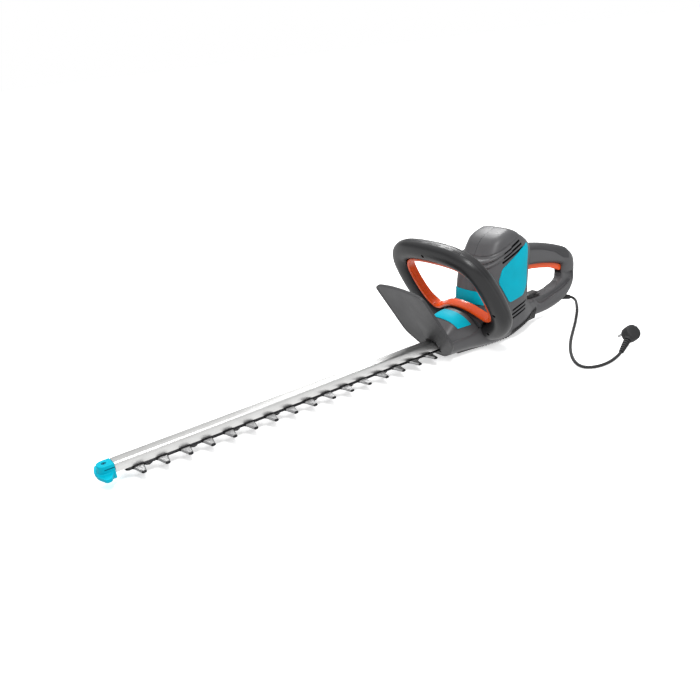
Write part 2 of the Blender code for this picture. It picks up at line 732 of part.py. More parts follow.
def make_plug(start, way):
    """Round two-pin plug; the lead enters from its side."""
    axis = Vector((0.2236, 0.781, -0.582)).normalized()
    centre = start + way * 16.5
    axis = (axis - way * axis.dot(way)).normalized()
    body = turned("plug", [(9, -9), (12.4, -8), (13.2, -3), (13.2, 7), (12.6, 9)], centre, axis, count=20)
    join(body, turned("entry", [(6.2, -16), (8, -6)], centre, way, count=12))
    finish(body, "plug", "rubber", 40)
    up = way.cross(axis).normalized()
    for k, s in enumerate((-7.5, 7.5)):
        turned("plug_pin_%d" % (k + 1), [(2.2, 9.4), (2.2, 24), (1.5, 25)], centre + up * s, axis, "steel", count=8)


def main():
    clear_scene()
    make_blade("upper_blade", BLADE_MID + 0.2, BLADE_TOP)
    make_blade("lower_blade", BLADE_MID - BLADE_THICK, BLADE_MID - 0.2)
    make_rail()
    make_bolts()
    make_tip()
    make_tip_screw()
    make_guard()
    make_housings()
    make_cap()
    make_panels()
    make_front_band()
    make_gearbox_cover()
    make_cover_insert()
    make_loop()
    make_bail()
    make_collar()
    make_base_plate()
    make_drive()
    make_switches()
    make_trigger()
    make_grip_insert()
    make_cable_hook()
    make_lead()


main()
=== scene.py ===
"""Looks of the hedge trimmer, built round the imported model. Lengths are in millimetres along the drawing's axes
until put() turns them into metres in the model's own frame."""

import math

import bmesh
import bpy
from mathutils import Matrix, Vector


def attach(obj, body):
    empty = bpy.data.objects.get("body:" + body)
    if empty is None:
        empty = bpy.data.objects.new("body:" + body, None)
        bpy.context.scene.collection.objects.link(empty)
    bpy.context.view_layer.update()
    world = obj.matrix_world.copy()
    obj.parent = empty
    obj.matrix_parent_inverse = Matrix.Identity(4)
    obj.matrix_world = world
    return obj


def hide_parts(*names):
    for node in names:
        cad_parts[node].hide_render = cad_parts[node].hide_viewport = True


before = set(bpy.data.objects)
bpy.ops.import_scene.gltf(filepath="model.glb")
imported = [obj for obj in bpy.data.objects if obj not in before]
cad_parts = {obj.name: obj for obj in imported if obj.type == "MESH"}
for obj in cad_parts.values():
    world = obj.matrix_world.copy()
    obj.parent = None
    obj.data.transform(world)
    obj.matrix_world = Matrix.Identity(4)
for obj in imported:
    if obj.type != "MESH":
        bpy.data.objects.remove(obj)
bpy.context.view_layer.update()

MM = 0.001
SHIFT = Vector((-9.95, 0.0, 0.0))
PITCH, TEETH, FIRST_TOOTH = 33.0, 16, -390.0
BAR_HALF, SPAN_HALF = 12.0, 34.0
STROKE = 8.25
RAIL_TOP = 32.0
GEAR_X = 217.0
GUARD_X, GUARD_LEAN = 131.0, math.radians(30.2)
LOOP_X, LOOP_LEAN = 222.5, math.radians(27.8)
DATUM_Z = 16.0


# ------------------------------------------------------------------ camera, stage and light
def put(v):
    return (Vector(v) + SHIFT) * MM


def make_camera():
    data = bpy.data.cameras.new("camera")
    data.sensor_width, data.lens = 36.0, 40.294
    data.clip_start, data.clip_end = 0.01, 200
    obj = bpy.data.objects.new("camera", data)
    bpy.context.scene.collection.objects.link(obj)
    ahead = Vector((0.50145848, 0.78684341, -0.35974553)).normalized()
    up = Vector((0.29102563, 0.23816865, 0.9265958))
    right = ahead.cross(up).normalized()
    up = right.cross(ahead).normalized()
    turn = Matrix((right, up, -ahead)).transposed().to_4x4()
    obj.matrix_world = Matrix.Translation((-0.644855, -0.94106, 0.49589)) @ turn
    bpy.context.scene.camera = obj


def area_light(name, place, target, size, power, colour=(1, 1, 1)):
    data = bpy.data.lights.new(name, "AREA")
    data.shape, data.size, data.energy, data.color = "DISK", size, power, colour
    obj = bpy.data.objects.new(name, data)
    bpy.context.scene.collection.objects.link(obj)
    obj.location = place
    obj.rotation_euler = (Vector(target) - Vector(place)).to_track_quat("-Z", "Y").to_euler()


def make_stage():
    world = bpy.data.worlds.new("studio")
    bpy.context.scene.world = world
    world.use_nodes = True
    tree = world.node_tree
    coord = tree.nodes.new("ShaderNodeTexCoord")
    parts = tree.nodes.new("ShaderNodeSeparateXYZ")
    ramp = tree.nodes.new("ShaderNodeValToRGB")
    tree.links.new(coord.outputs["Generated"], parts.inputs[0])
    tree.links.new(parts.outputs["Z"], ramp.inputs["Fac"])
    stops = ((0.0, 1.0), (0.1, 1.0), (0.17, 0.3), (0.45, 0.38), (0.72, 1.0), (1.0, 1.0))
    steps = ramp.color_ramp.elements
    while len(steps) < len(stops):
        steps.new(0.5)
    for step, (place, value) in zip(steps, stops):
        step.position, step.color = place, (value, value, value, 1)
    seen = tree.nodes.new("ShaderNodeLightPath")
    plain = tree.nodes.new("ShaderNodeMix")
    plain.data_type = "RGBA"
    tree.links.new(seen.outputs["Is Camera Ray"], plain.inputs[0])
    tree.links.new(ramp.outputs["Color"], plain.inputs[6])
    plain.inputs[7].default_value = (1, 1, 1, 1)
    tree.links.new(plain.outputs[2], tree.nodes["Background"].inputs["Color"])
    tree.nodes["Background"].inputs["Strength"].default_value = 1.0
    area_light("key", (-0.5, -0.9, 1.5), (0.15, 0, 0.1), 0.5, 17)
    area_light("rear", (0.9, 1.0, 1.4), (0.2, 0, 0.1), 0.6, 17)
    mesh = bpy.data.meshes.new("floor")
    mesh.from_pydata([(-90, -90, 0), (90, -90, 0), (90, 90, 0), (-90, 90, 0)], [], [(0, 1, 2, 3)])
    floor = bpy.data.objects.new("floor", mesh)
    bpy.context.scene.collection.objects.link(floor)
    floor.location.z = -0.0004
    floor.visible_diffuse = floor.visible_glossy = False
    mat = bpy.data.materials.new("floor_paint")
    mat.use_nodes = True
    mat.node_tree.nodes["Principled BSDF"].inputs["Base Color"].default_value = (0.93, 0.93, 0.93, 1)
    mat.node_tree.nodes["Principled BSDF"].inputs["Roughness"].default_value = 0.9
    mat.node_tree.nodes["Principled BSDF"].inputs["Specular IOR Level"].default_value = 0.0
    mat.node_tree.nodes["Principled BSDF"].inputs["Emission Color"].default_value = (1, 1, 1, 1)
    mat.node_tree.nodes["Principled BSDF"].inputs["Emission Strength"].default_value = 0.55
    mesh.materials.append(mat)
    view = bpy.context.scene.view_settings
    view.view_transform, view.look, view.exposure = "Standard", "None", 0.0


# ------------------------------------------------------------------ materials
class Nodes:
    """Short names for making one material's nodes."""

    def __init__(self, name, rough, metal=0.0):
        self.mat = bpy.data.materials.new(name)
        self.mat.use_nodes = True
        self.tree = self.mat.node_tree
        self.shader = self.tree.nodes["Principled BSDF"]
        self.shader.inputs["Roughness"].default_value = rough
        self.shader.inputs["Metallic"].default_value = metal
        self.coord = self.add("ShaderNodeTexCoord").outputs["Object"]

    def add(self, kind, **values):
        node = self.tree.nodes.new(kind)
        for key, value in values.items():
            setattr(node, key, value)
        return node

    def link(self, a, b):
        self.tree.links.new(a, b)

    def noise(self, scale, detail=2.0, stretch=None, rough=0.5):
        node = self.add("ShaderNodeTexNoise")
        node.inputs["Scale"].default_value = scale
        node.inputs["Detail"].default_value = detail
        node.inputs["Roughness"].default_value = rough
        source = self.coord
        if stretch:
            mapping = self.add("ShaderNodeMapping")
            mapping.inputs["Scale"].default_value = stretch
            self.link(source, mapping.inputs["Vector"])
            source = mapping.outputs["Vector"]
        self.link(source, node.inputs["Vector"])
        return node.outputs["Fac"]

    def spread(self, value, low, high, start=0.3, end=0.7):
        node = self.add("ShaderNodeMapRange")
        node.inputs["From Min"].default_value = start
        node.inputs["From Max"].default_value = end
        node.inputs["To Min"].default_value = low
        node.inputs["To Max"].default_value = high
        self.link(value, node.inputs["Value"])
        return node.outputs["Result"]

    def blend(self, factor, a, b):
        node = self.add("ShaderNodeMix", data_type="RGBA")
        for socket, value in ((node.inputs[6], a), (node.inputs[7], b)):
            if isinstance(value, (tuple, list)):
                socket.default_value = (*value, 1.0)
            else:
                self.link(value, socket)
        self.link(factor, node.inputs[0])
        return node.outputs[2]

    def bump(self, height, strength, distance, after=None):
        node = self.add("ShaderNodeBump")
        node.inputs["Strength"].default_value = strength
        node.inputs["Distance"].default_value = distance
        self.link(height, node.inputs["Height"])
        if after:
            self.link(after, node.inputs["Normal"])
        self.link(node.outputs["Normal"], self.shader.inputs["Normal"])
        return node.outputs["Normal"]

    def edges(self, low=0.52, high=0.62):
        return self.spread(self.add("ShaderNodeNewGeometry").outputs["Pointiness"], 0.0, 1.0, low, high)


def tint(colour, k):
    return tuple(min(1.0, c * k) for c in colour)


def plastic(name, colour, rough=0.45, grain=0.22, size=1400.0, edge=1.25, gloss=0.45):
    """Moulded plastic: spark-eroded grain, slight cloudiness, and paler convex edges that are a painted edge
    highlight.
    """
    n = Nodes(name, rough)
    cloud = n.noise(24.0, 3.0)
    base = n.blend(n.spread(cloud, 0.0, 1.0), tint(colour, 0.93), tint(colour, 1.07))
    # painted highlight: convex edges, found by pointiness, are lightened by the factor edge
    n.link(n.blend(n.edges(), base, tint(colour, edge)), n.shader.inputs["Base Color"])
    fine = n.noise(size, 2.0)
    n.link(n.spread(cloud, rough - 0.04, rough + 0.05), n.shader.inputs["Roughness"])
    n.bump(fine, grain, 0.0002)
    n.shader.inputs["Specular IOR Level"].default_value = gloss
    return n.mat


def rubber(name, colour, rough=0.62):
    n = Nodes(name, rough)
    dust = n.noise(60.0, 4.0)
    n.link(n.blend(n.spread(dust, 0.0, 1.0), tint(colour, 0.85), tint(colour, 1.25)), n.shader.inputs["Base Color"])
    n.link(n.spread(dust, rough - 0.08, rough + 0.08), n.shader.inputs["Roughness"])
    n.bump(n.noise(900.0, 3.0), 0.3, 0.0002)
    return n.mat


def brushed(name, colour, rough, stretch, depth=0.25, dark=0.8):
    """Metal with fine lines along one direction."""
    n = Nodes(name, rough, 1.0)
    lines = n.noise(1.0, 4.0, stretch, 0.6)
    marks = n.noise(30.0, 4.0)
    base = n.blend(n.spread(lines, 0.0, 1.0), tint(colour, 0.94), tint(colour, 1.05))
    n.link(n.blend(n.spread(marks, 0.0, 0.5, 0.45, 0.75), base, tint(colour, dark)), n.shader.inputs["Base Color"])
    n.link(n.spread(lines, rough - 0.07, rough + 0.09), n.shader.inputs["Roughness"])
    n.bump(lines, depth, 0.00006)
    return n.mat


def blade_steel():
    """Ground steel teeth with black-skinned tips. The bar is black out to just past the rail's edge: partly the bar's
    own oiled black skin, partly painted shadow of the gap under the rail.
    """
    n = Nodes("blade_steel", 0.36, 1.0)
    lines = n.noise(1.0, 4.0, (1400, 60, 60), 0.6)
    steel = n.blend(n.spread(lines, 0.0, 1.0), (0.30, 0.30, 0.31), (0.44, 0.44, 0.44))
    parts = n.add("ShaderNodeSeparateXYZ")
    n.link(n.coord, parts.inputs[0])
    away = n.add("ShaderNodeMath", operation="ABSOLUTE")
    n.link(parts.outputs["Y"], away.inputs[0])
    # black band on the bar, reaching past the rail's edge: partly the bar's own black skin, partly painted shadow of
    # the gap under the rail
    inner = n.spread(away.outputs[0], 1.0, 0.0, 0.0148, 0.0156)
    outer = n.spread(away.outputs[0], 0.0, 1.0, 0.0318, 0.0326)
    both = n.add("ShaderNodeMath", operation="MAXIMUM")
    n.link(inner, both.inputs[0])
    n.link(outer, both.inputs[1])
    n.link(n.blend(both.outputs[0], steel, (0.03, 0.03, 0.032)), n.shader.inputs["Base Color"])
    n.link(n.spread(lines, 0.3, 0.46), n.shader.inputs["Roughness"])
    n.bump(lines, 0.3, 0.00006)
    return n.mat


def metal(name, colour, rough):
    n = Nodes(name, rough, 1.0)
    marks = n.noise(140.0, 4.0)
    n.link(n.blend(n.spread(marks, 0.0, 1.0), tint(colour, 0.8), tint(colour, 1.1)), n.shader.inputs["Base Color"])
    n.link(n.spread(marks, rough - 0.08, rough + 0.1), n.shader.inputs["Roughness"])
    n.bump(n.noise(1100.0, 2.0), 0.15, 0.0001)
    return n.mat


GREY = (0.085, 0.085, 0.089)
DARK = (0.018, 0.018, 0.019)
TEAL = (0.0, 0.43, 0.57)
ORANGE = (1.0, 0.1, 0.008)
LOOKS = {}


def make_looks():
    LOOKS.update(
        body=plastic("body_plastic", GREY, 0.42),
        loop=plastic("loop_plastic", (0.02, 0.02, 0.0213), 0.36, grain=0.3, gloss=0.4),
        guard=plastic("guard_plastic", (0.043, 0.043, 0.0455), 0.5),
        dark=plastic("dark_plastic", DARK, 0.5, edge=1.6),
        # painted shade: near-black look for the walls of holes, vents, slots, grooves and seams cut by cutters that
        # carry it
        recess=plastic("recess_plastic", (0.006, 0.006, 0.007), 0.7, edge=1.0),
        teal=plastic("teal_plastic", TEAL, 0.5, grain=0.14, edge=1.1, gloss=0.1),
        # painted shade: darker teal for the tip's groove and screw well, also used on the screw head sunk in the well
        deep=plastic("deep_teal_plastic", (0.0, 0.16, 0.25), 0.5, grain=0.14, edge=1.1, gloss=0.1),
        orange=plastic("orange_plastic", ORANGE, 0.24, grain=0.1, edge=1.08, gloss=0.5),
        rubber=rubber("cord_rubber", (0.016, 0.016, 0.017)),
        soft=rubber("grip_rubber", (0.045, 0.045, 0.048), 0.7),
        rail=brushed("rail_steel", (0.86, 0.86, 0.85), 0.38, (14, 1600, 1600)),
        blade=blade_steel(),
        black=metal("black_steel", (0.035, 0.034, 0.034), 0.45),
        screw=metal("screw_steel", (0.07, 0.07, 0.075), 0.35),
        copper=metal("winding_copper", (0.72, 0.34, 0.17), 0.35),
        iron=metal("stator_iron", (0.28, 0.28, 0.29), 0.5),
        steel=metal("plain_steel", (0.55, 0.55, 0.55), 0.3),
    )


# ------------------------------------------------------------------ making shapes
def mesh_object(name, verts, faces, look=None, smooth=35):
    mesh = bpy.data.meshes.new(name)
    mesh.from_pydata([put(v) for v in verts], [], faces)
    bm = bmesh.new()
    bm.from_mesh(mesh)
    bmesh.ops.remove_doubles(bm, verts=bm.verts, dist=1e-6)
    bmesh.ops.recalc_face_normals(bm, faces=bm.faces)
    bm.to_mesh(mesh)
    bm.free()
    obj = bpy.data.objects.new(name, mesh)
    bpy.context.scene.collection.objects.link(obj)
    if look:
        mesh.materials.append(LOOKS[look])
    shade(obj, smooth)
    return obj


def shade(obj, angle=35):
    obj.data.shade_smooth()
    obj.data.set_sharp_from_angle(angle=math.radians(angle))
    return obj


def loft(name, rings, look=None, closed=False, smooth=35):
    count = len(rings[0])
    verts = [p for ring in rings for p in ring]
    faces = []
    for i in range(len(rings) if closed else len(rings) - 1):
        j = (i + 1) % len(rings)
        for k in range(count):
            m = (k + 1) % count
            faces.append((i * count + k, i * count + m, j * count + m, j * count + k))
    if not closed:
        faces.append(tuple(range(count)))
        faces.append(tuple((len(rings) - 1) * count + k for k in range(count)))
    return mesh_object(name, verts, faces, look, smooth)


def prism(name, outline, low, high, axis="Z", look=None):
    order = {"Z": lambda a, b, t: (a, b, t), "Y": lambda a, b, t: (a, t, b), "X": lambda a, b, t: (t, a, b)}
    return loft(name, [[order[axis](a, b, t) for a, b in outline] for t in (low, high)], look)


def box(name, low, high, look=None):
    outline = [(low[0], low[1]), (high[0], low[1]), (high[0], high[1]), (low[0], high[1])]
    return prism(name, outline, low[2], high[2], "Z", look)


def basis(direction):
    n = Vector(direction).normalized()
    side = Vector((0, 0, 1)) if abs(n.z) < 0.9 else Vector((1, 0, 0))
    u = n.cross(side).normalized()
    return n, u, n.cross(u)


def turned(name, profile, origin, direction, look=None, count=40, smooth=35):
    n, u, v = basis(direction)
    rings = []
    for radius, height in profile:
        rings.append([Vector(origin) + n * height + (u * math.cos(t) + v * math.sin(t)) * radius
                      for t in (2 * math.pi * k / count for k in range(count))])
    return loft(name, rings, look, smooth=smooth)


def oval(cx, cy, a, b, power=2.0, count=72):
    points = []
    for k in range(count):
        t = 2 * math.pi * k / count
        c, s = math.cos(t), math.sin(t)
        points.append((cx + a * math.copysign(abs(c) ** (2 / power), c),
                       cy + b * math.copysign(abs(s) ** (2 / power), s)))
    return points


def rounded(outline, radius, steps=5):
    points = []
    n = len(outline)
    for i, corner in enumerate(outline):
        r = radius[i] if isinstance(radius, (list, tuple)) else radius
        here = Vector(corner)
        back, ahead = Vector(outline[i - 1]) - here, Vector(outline[(i + 1) % n]) - here
        if r <= 0:
            points.append(tuple(here))
            continue
        reach = min(r, back.length * 0.48, ahead.length * 0.48)
        a, b = here + back.normalized() * reach, here + ahead.normalized() * reach
        for k in range(steps + 1):
            t = k / steps
            points.append(tuple(a * (1 - t) ** 2 + here * (2 * t * (1 - t)) + b * t ** 2))
    return points


def spline(points, count, cyclic=False):
    """Even points along a Catmull-Rom curve through the given ones."""
    pts = [Vector(p) for p in points]
    n = len(pts)
    dense = []
    for i in range(n if cyclic else n - 1):
        p0 = pts[(i - 1) % n] if cyclic or i > 0 else pts[0] * 2 - pts[1]
        p1, p2 = pts[i % n], pts[(i + 1) % n]
        p3 = pts[(i + 2) % n] if cyclic or i + 2 < n else pts[-1] * 2 - pts[-2]
        for k in range(24):
            t = k / 24
            dense.append(0.5 * (2 * p1 + (p2 - p0) * t + (2 * p0 - 5 * p1 + 4 * p2 - p3) * t ** 2
                                + (3 * p1 - p0 - 3 * p2 + p3) * t ** 3))
    dense.append(pts[0].copy() if cyclic else pts[-1])
    lengths = [0.0]
    for a, b in zip(dense, dense[1:]):
        lengths.append(lengths[-1] + (b - a).length)
    out, j = [], 0
    for k in range(count):
        want = lengths[-1] * k / (count if cyclic else count - 1)
        while j < len(lengths) - 2 and lengths[j + 1] < want:
            j += 1
        share = (want - lengths[j]) / max(lengths[j + 1] - lengths[j], 1e-9)
        out.append(dense[j].lerp(dense[j + 1], min(1.0, share)))
    return out


def between(table, per=6):
    """A table's rows with smooth steps between them."""
    rows = []
    last = len(table) - 1
    for i in range(last):
        r0, r1, r2, r3 = table[max(i - 1, 0)], table[i], table[i + 1], table[min(i + 2, last)]
        for k in range(per):
            t = k / per
            rows.append([0.5 * (2 * b + (c - a) * t + (2 * a - 5 * b + 4 * c - d) * t * t
                                + (3 * b - a - 3 * c + d) * t ** 3)
                         for a, b, c, d in zip(r0, r1, r2, r3)])
    rows.append(list(table[-1]))
    return rows


def applied(obj):
    mesh = bpy.data.meshes.new_from_object(obj.evaluated_get(bpy.context.evaluated_depsgraph_get()))
    obj.modifiers.clear()
    obj.data = mesh
    return obj


def combine(obj, others, operation, keep=False):
    for other in others:
        mod = obj.modifiers.new("join", "BOOLEAN")
        # cut faces take the cutter's look, so cutters with the near-black recess look paint shade into holes and
        # seams
        mod.operation, mod.object, mod.solver = operation, other, "EXACT"
        mod.material_mode = "TRANSFER"
        bpy.context.view_layer.update()
        applied(obj)
        if not keep:
            bpy.data.objects.remove(other, do_unlink=True)
    return obj


def cut(obj, *others, keep=False):
    return combine(obj, others, "DIFFERENCE", keep)


def join(obj, *others, keep=False):
    return combine(obj, others, "UNION", keep)


def common(obj, *others, keep=False):
    return combine(obj, others, "INTERSECT", keep)


def copy_of(obj, name):
    new = obj.copy()
    new.data = obj.data.copy()
    new.name = name
    bpy.context.scene.collection.objects.link(new)
    return new


def melted(obj, voxel, rounds, look=None, factor=0.5):
    """One skin with soft fillets: remeshed in small cells, then smoothed."""
    mod = obj.modifiers.new("skin", "REMESH")
    mod.mode, mod.voxel_size, mod.use_smooth_shade = "VOXEL", voxel * MM, True
    if rounds:
        soft = obj.modifiers.new("soft", "SMOOTH")
        soft.factor, soft.iterations = factor, rounds
    bpy.context.view_layer.update()
    applied(obj)
    if look:
        obj.data.materials.clear()
        obj.data.materials.append(LOOKS[look])
    return obj


def bevelled(obj, width, segments=3, angle=32):
    mod = obj.modifiers.new("bevel", "BEVEL")
    mod.width, mod.segments, mod.limit_method, mod.angle_limit = width * MM, segments, "ANGLE", math.radians(angle)
    mod.harden_normals = False
    bpy.context.view_layer.update()
    return shade(applied(obj), 40)


def together(name, objects):
    """Several meshes as one object, without a Boolean."""
    bm = bmesh.new()
    looks = []
    for obj in objects:
        slots = []
        for m in obj.data.materials:
            if m not in looks:
                looks.append(m)
            slots.append(looks.index(m))
        start = len(bm.faces)
        bm.from_mesh(obj.data)
        bm.faces.ensure_lookup_table()
        for f in bm.faces[start:]:
            f.material_index = slots[f.material_index] if f.material_index < len(slots) else 0
        bpy.data.objects.remove(obj, do_unlink=True)
    mesh = bpy.data.meshes.new(name)
    bm.to_mesh(mesh)
    bm.free()
    for m in looks:
        mesh.materials.append(m)
    obj = bpy.data.objects.new(name, mesh)
    bpy.context.scene.collection.objects.link(obj)
    return obj


def stands_for(obj, nodes, body="trimmer", name=None):
    if name:
        obj.name = name
    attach(obj, body)
    if nodes:
        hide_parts(*([nodes] if isinstance(nodes, str) else nodes))
    return obj


def on_plane(station, lean, y, h, n=0.0):
    """A point on a plane that leans forward: h up the plane, n behind it."""
    return (station - h * math.sin(lean) + n * math.cos(lean), y, DATUM_Z + h * math.cos(lean) + n * math.sin(lean))


def slab(name, station, lean, n0, n1):
    corners = ((-300, -300), (300, -300), (300, 400), (-300, 400))
    rings = [[on_plane(station, lean, y, h, n) for y, h in corners] for n in (n0, n1)]
    return loft(name, rings)


# ------------------------------------------------------------------ lead, made first
CORD_R = 2.5
CORD_EXIT = Vector((432, 0, 26))
CORD_DIR = Vector((0.95, 0, -0.3)).normalized()
CORD_ROUTE = (
    (462.4, 0, 16.42), (466.4, -0.9, 15.0), (468.5, -4.5, 12.4), (465.5, -11, 10), (457, -20, 7.6), (438, -37, 4.4),
    (397, -68, 2.8), (359, -95, 2.8), (324, -120, 2.8), (292, -146, 2.8), (267, -171, 2.8), (252, -192, 2.8),
    (248, -208, 2.8), (255, -219, 2.8), (270, -225, 2.8), (290, -225.5, 2.8), (310, -221.5, 3.0), (324, -218.6, 5.0),
)
PLUG_WAY = Vector((0.877, 0.22, 0.427)).normalized()
PLUG_AXIS = Vector((0.2236, 0.781, -0.582)).normalized()


def ribbed(name, start, way, radii, length, ribs, look, core=0.72):
    """Tapered strain relief with ring grooves between its ribs."""
    profile = [(radii[0] * 0.8, 0)]
    for k in range(ribs):
        a, b = k / ribs, (k + 1) / ribs
        r = radii[0] + (radii[1] - radii[0]) * (a + b) / 2
        for t, f in ((0.06, core), (0.16, 0.97), (0.24, 1.0), (0.58, 1.0), (0.66, 0.97),
                     (0.76, core), (0.97, core)):
            profile.append((r * f, length * (a + (b - a) * t)))
    profile.append((radii[1] * 0.9, length))
    return turned(name, profile, start, way, look, 36)


def make_lead():
    points = spline(CORD_ROUTE, 130)
    curve = bpy.data.curves.new("lead", "CURVE")
    curve.dimensions = "3D"
    curve.bevel_depth, curve.bevel_resolution, curve.use_fill_caps = CORD_R * MM, 5, True
    line = curve.splines.new("POLY")
    line.points.add(len(points) - 1)
    for point, p in zip(line.points, points):
        point.co = (*put(p), 1.0)
    line.use_smooth = True
    curve.materials.append(LOOKS["rubber"])
    lead = bpy.data.objects.new("lead", curve)
    bpy.context.scene.collection.objects.link(lead)
    stands_for(lead, "cord")
    start = points[-1] + PLUG_WAY * 1.0
    relief = ribbed("lead_relief", start, PLUG_WAY, (3.9, 5.6), 25.0, 6, "rubber")
    stands_for(relief, "plug_strain_relief")
    plug = make_plug(start + PLUG_WAY * 25.3, PLUG_WAY)
    gland = ribbed("gland", CORD_EXIT + CORD_DIR * 7.5, CORD_DIR, (5.4, 4.2), 22.4, 6, "rubber", 0.8)
    root = turned("root", [(5.7, -5.8), (5.7, 6.0), (5.0, 7.6)], CORD_EXIT, CORD_DIR, "rubber")
    gland = together("lead_gland", [gland, root])
    stands_for(shade(gland), "cord_gland")


def make_plug(start, way):
    """Round plug body with a notched rim; the lead enters from its side."""
    axis = (PLUG_AXIS - way * PLUG_AXIS.dot(way)).normalized()
    centre = start + way * 16.5
    profile = [(6, -9.0), (10.4, -8.6), (12.0, -7.6), (12.9, -5.4), (13.2, -2.5), (13.2, 5.0), (12.9, 7.6),
               (12.2, 8.9), (9.6, 9.0), (9.4, 8.0)]
    body = turned("plug_body", profile, centre, axis, "rubber", 64)
    neck = [(5.4, -16.4), (6.2, -16), (6.6, -12), (7.4, -8), (7.6, -2)]
    join(body, turned("neck", neck, centre, way, "rubber", 36))
    side = way.cross(axis).normalized()
    for s in (-1, 1):
        middle = centre + way * 12.4 + side * s * 3.4 - axis * 3
        slot = turned("notch", [(2.4, -20), (2.4, 20)], middle, axis, "recess", 20)
        cut(body, slot)
    body = bevelled(body, 0.5, 2, 40)
    return stands_for(body, "plug", name="lead_plug")


# ------------------------------------------------------------------ housing
TOWER = (
    (30, 202, 323, 38, 0), (60, 203, 325, 41, 0), (90, 205, 327, 42, 0), (120, 211, 330, 42.5, 0),
    (145, 223, 333, 43, 0.05), (160, 231, 328, 42, 0.12), (171, 237, 318, 39.5, 0.17),
    (179, 242, 306, 36.5, 0.22), (184.5, 249, 296, 32, 0.25), (187.2, 258, 287, 25, 0.26),
    (188.2, 266, 278, 15, 0.26),
)
CREST_X = 280
LOWER = (
    (112, 22, 37, 6, 18, 34), (150, 22, 38, 5, 17, 35), (180, 22, 39, 3.5, 15, 38), (205, 24, 41, 1.5, 12, 46),
    (235, 28, 43, 0.0, 10, 60), (270, 28, 42, 2.5, 14, 66), (305, 24, 37, 9, 20, 62),
    (335, 18, 25, 14.5, 26, 48.4), (355, 14, 18.7, 15.6, 30, 44.3),
)
HANDLE = (
    (296, 129, 21, 18), (335, 127, 20, 17.5), (376, 121, 19, 17), (412, 112, 18, 17),
    (436, 103, 16, 17), (446, 91, 15.5, 16.5),
    (446, 71, 16, 16.5), (443, 54, 16.5, 16), (428, 40.5, 18, 16.5), (402, 33, 18.5, 17), (370, 29.5, 18.5, 17.8),
    (335, 30, 18, 18.4), (302, 33, 15, 17.6),
)


def tower(name, off=0.0, look=None):
    rings = []
    for z, x0, x1, half, tilt in between(TOWER, 5):
        level = z - off if z > 100 else z
        outline = oval((x0 + x1) / 2, 0, max((x1 - x0) / 2 - off, 2.0), max(half - off, 2.0), 3.4, 88)
        rings.append([(x, y, level - tilt * max(CREST_X - x, 0) - 0.4 * tilt * max(x - CREST_X, 0))
                      for x, y in outline])
    return loft(name, rings, look)


def lower(name, off=0.0, look=None):
    rings = []
    for x, hb, ht, z0, knee, z1 in between(LOWER, 5):
        z0 = max(z0, 0.1)
        outline = [(-hb + off, z0 + off), (hb - off, z0 + off), (ht - off, knee), (ht - off, z1 - off),
                   (-ht + off, z1 - off), (-ht + off, knee)]
        rings.append([(x, y, z) for y, z in rounded(outline, [5, 5, 8, 9, 9, 8], 5)])
    return loft(name, rings, look)


def grip(name, off=0.0, look=None):
    path = spline([(x, 0, z) for x, z, _, _ in HANDLE], 84)
    sizes = spline([(a, b, 0) for _, _, a, b in HANDLE], 84)
    rings = []
    for i, p in enumerate(path):
        t = (path[min(i + 1, 83)] - path[max(i - 1, 0)]).normalized()
        up = Vector((-t.z, 0, t.x))
        section = oval(0, 0, sizes[i].x - off, sizes[i].y - off, 2.5, 40)
        rings.append([tuple(p + up * u + Vector((0, v, 0))) for u, v in section])
    return loft(name, rings, look)


def rim_line(shift):
    """The motor cap's rim seen from the side; it rises to the rear."""
    slope, x0, z0 = 0.36, 227, 151 + shift
    return [(100, z0 + slope * (100 - x0)), (420, z0 + slope * (420 - x0))]


def over_rim(name, shift=0.0):
    """All the space over the cap's rim."""
    return prism(name, rim_line(shift) + [(420, 400), (100, 400)], -120, 120, "Y")


def rim_band(name, shift, tall):
    """A thin leaning slice of space, parallel to the cap's rim."""
    line = rim_line(shift)
    return prism(name, line + [(x, z - tall) for x, z in reversed(line)], -120, 120, "Y")


UPPER_VENTS = (((255, 154), (294, 168.5), 3.6), ((253, 146.5), (297, 162.5), 3.6), ((251, 139), (300, 156.5), 3.6))
LOWER_VENTS = (((270, 52), (308, 60), 3.4), ((268, 45), (308, 53), 3.4), ((268, 38.5), (306, 46), 3.2))
# the inset on each side of the lower bar, the ridge along its lower edge, and the pocket in the bar's top
BAR_STEP = [(342, 49), (366, 33), (403, 40.5), (430, 47.5), (452, 58), (452, 74), (430, 74), (414, 62),
            (380, 57), (342, 62)]
BAR_RIDGE = ((344, 20, 47), (366, 16.6, 32.5), (403, 16, 40), (430, 15.4, 47.5), (447, 14.6, 57))
BAR_POCKET = [(327, 47), (350, 44.8), (376, 44.8), (403, 48.2), (420, 55), (430, 66), (431, 78), (420, 84), (408, 66),
              (380, 60), (327, 60)]
PANEL = [(312, 162), (308, 87), (297, 73), (264, 68), (241, 108), (250, 129)]
BAND = [(186, 100), (211, 98), (236, 82), (242, 72), (230, 67), (207, 77), (186, 79)]


def vent_cutters(side, rows, depth=7.0):
    made = []
    for (x0, z0), (x1, z1), width in rows:
        d = Vector((x1 - x0, z1 - z0)).normalized()
        n = Vector((-d.y, d.x)) * width / 2
        corners = [(x0 - n.x, z0 - n.y), (x1 - n.x, z1 - n.y), (x1 + n.x, z1 + n.y), (x0 + n.x, z0 + n.y)]
        low, high = sorted((side * (43.5 - depth), side * 70))
        # the vent cutter's look paints shade on the vent walls
        made.append(prism("vent", rounded(corners, width * 0.45, 4), low, high, "Y", "recess"))
    return made


